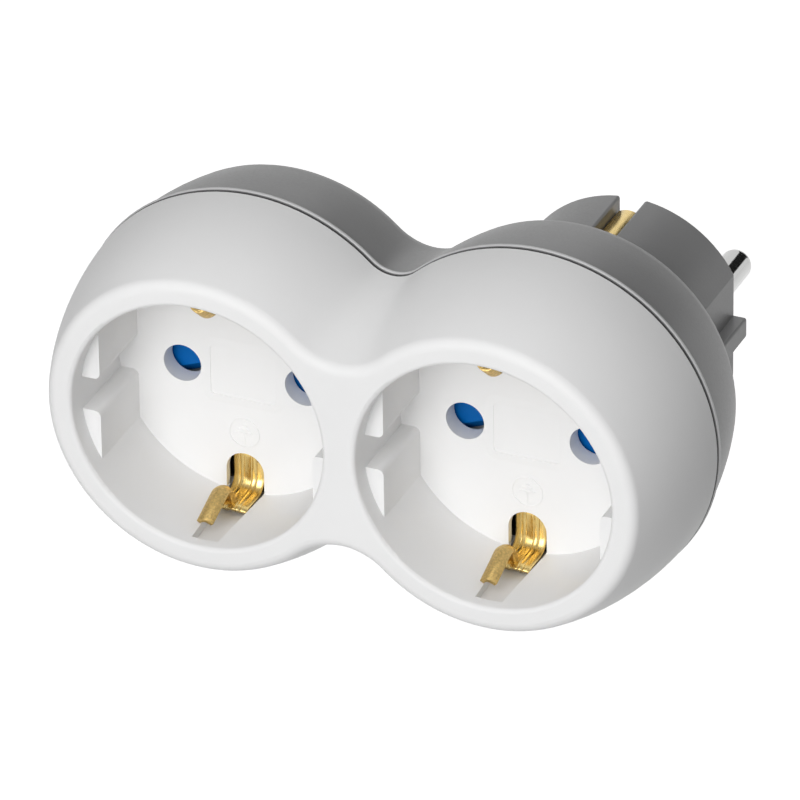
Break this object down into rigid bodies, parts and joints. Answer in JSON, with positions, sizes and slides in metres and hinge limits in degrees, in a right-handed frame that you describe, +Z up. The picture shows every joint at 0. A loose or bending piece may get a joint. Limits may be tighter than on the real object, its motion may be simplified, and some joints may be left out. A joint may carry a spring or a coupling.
{
  "type": "two-way socket adapter",
  "caption": "Figure-eight mains adapter: round earthed socket wells side by side in a white cover, grey back with an earthed round-pin wall plug behind one of them.",
  "frame": {"origin": "centre of the wall plug's face, where the pins stand out", "axes": "+X right as the sockets are faced, +Y into the wall along the plug pins, +Z up"},
  "size_m": [0.0992, 0.0745, 0.0552],
  "materials": {
    "white_plastic": "fine satin moulded white plastic",
    "grey_plastic": "fine eroded mid-grey plastic",
    "blue_plastic": "smooth blue plastic",
    "brass": "pressed brass strip",
    "nickel_plate": "bright nickel plate",
    "spring_steel": "plain steel"
  },
  "bodies": {
    "adapter": {"front_cover": "white_plastic", "shutter_retainer_left": "white_plastic", "shutter_retainer_right": "white_plastic", "rear_housing": "grey_plastic", "earth_stirrup_left": "brass", "earth_stirrup_right": "brass", "earth_link": "brass", "plug_earth_bracket": "brass", "bus_bar_left": "brass", "bus_bar_right": "brass", "pin_contact_left_left": "brass", "pin_contact_left_right": "brass", "pin_contact_right_left": "brass", "pin_contact_right_right": "brass", "contact_rivets": "brass", "earth_rivets": "brass", "plug_pin_left": "nickel_plate", "plug_pin_right": "nickel_plate", "housing_screw": "spring_steel", "shutter_spring_left": "spring_steel", "shutter_spring_right": "spring_steel"},
    "shutter_left": {"shutter_left": "blue_plastic"},
    "shutter_right": {"shutter_right": "blue_plastic"}
  },
  "joints": [
    {"name": "shutter_right_turn", "type": "hinge", "parent": "adapter", "child": "shutter_right", "pos_m": [0, -0.0353, 0], "axis": [0, 1, 0], "range_deg": [0, 40], "stiffness_Nm_per_rad": 0.004, "springref_deg": -20.05, "deforming": ["shutter_spring_right"]},
    {"name": "shutter_left_turn", "type": "hinge", "parent": "adapter", "child": "shutter_left", "pos_m": [-0.044, -0.0353, 0], "axis": [0, 1, 0], "range_deg": [0, 40], "stiffness_Nm_per_rad": 0.004, "springref_deg": -20.05, "deforming": ["shutter_spring_left"]}
  ]
}
